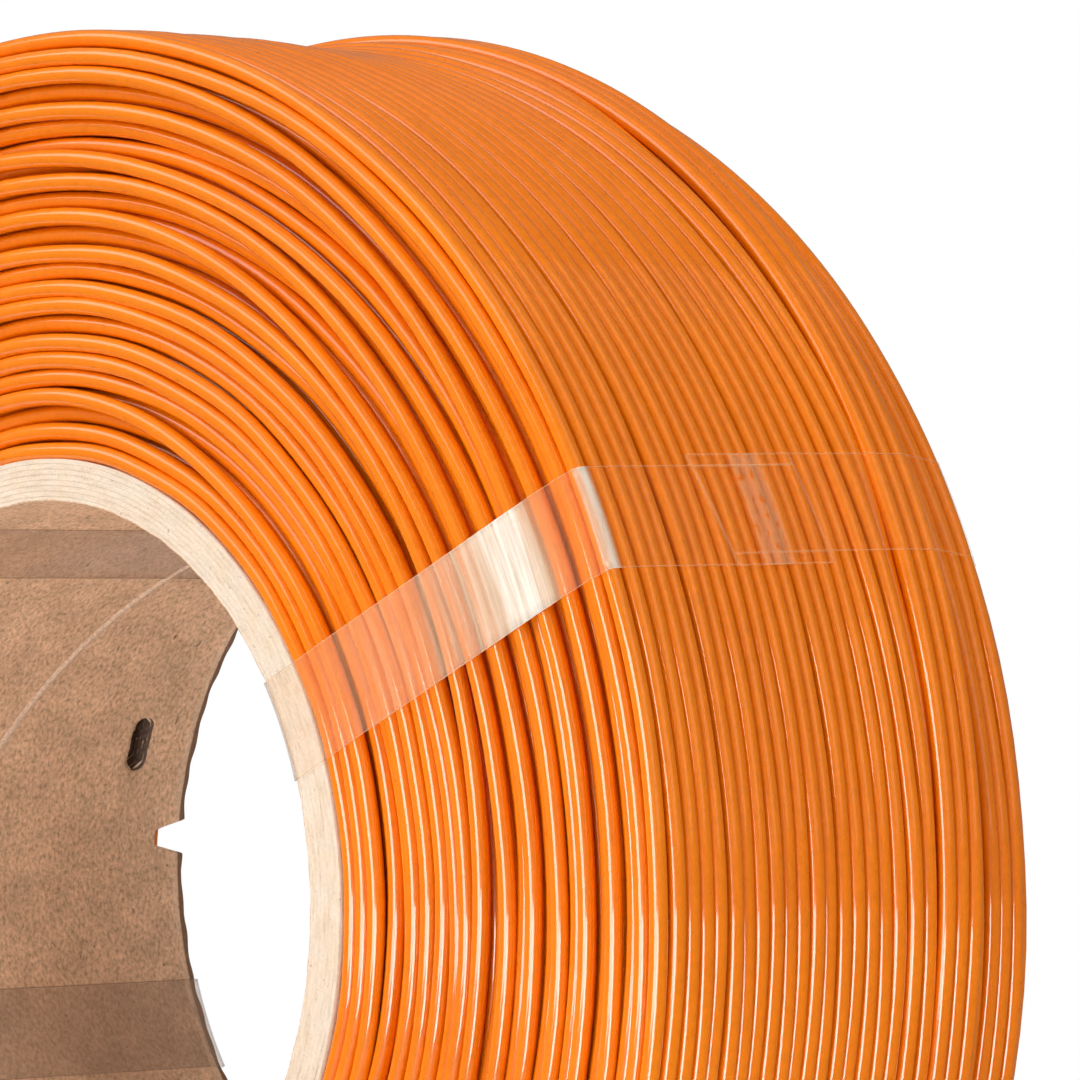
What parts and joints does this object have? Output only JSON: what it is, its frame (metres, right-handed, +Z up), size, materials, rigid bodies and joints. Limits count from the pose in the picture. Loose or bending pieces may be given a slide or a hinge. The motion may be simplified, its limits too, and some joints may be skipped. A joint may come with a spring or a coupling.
{
  "type": "filament refill coil",
  "caption": "Spool-less coil of 3-D printer filament wound in layers on a paper tube core, held by clear tape straps.",
  "frame": {"origin": "middle of the core's bore, halfway along the tube", "axes": "+Y along the coil's axis from the front face to the rear face, +Z up, +X to the right when the front face is looked at"},
  "size_m": [0.1708, 0.0508, 0.1708],
  "materials": {
    "kraft_liner": "matt brown kraft paper with fibres",
    "core_board": "pale cut paper board",
    "filament": "glossy orange filament",
    "clear_tape": "clear glossy film with adhesive"
  },
  "bodies": {
    "root": {"core_liner": "kraft_liner", "core_board_1": "core_board", "core_board_2": "core_board", "core_board_3": "core_board", "core_board_4": "core_board", "core_board_5": "core_board", "core_board_6": "core_board", "core_outer_ply": "core_board", "winding_layer_01": "filament", "winding_layer_02": "filament", "winding_layer_03": "filament", "winding_layer_04": "filament", "winding_layer_05": "filament", "winding_layer_06": "filament", "winding_layer_07": "filament", "winding_layer_08": "filament", "winding_layer_09": "filament", "winding_layer_10": "filament", "winding_layer_11": "filament", "winding_layer_12": "filament", "winding_layer_13": "filament", "winding_layer_14": "filament", "winding_layer_15": "filament", "winding_layer_16": "filament", "winding_layer_17": "filament", "winding_layer_18": "filament", "winding_layer_19": "filament", "winding_layer_20": "filament", "winding_layer_21": "filament", "winding_layer_22": "filament", "winding_layer_23": "filament", "winding_layer_24": "filament", "winding_top_turns": "filament", "tape_strap_1": "clear_tape", "tape_strap_2": "clear_tape", "tape_strap_3": "clear_tape", "tape_strap_4": "clear_tape"}
  },
  "joints": []
}
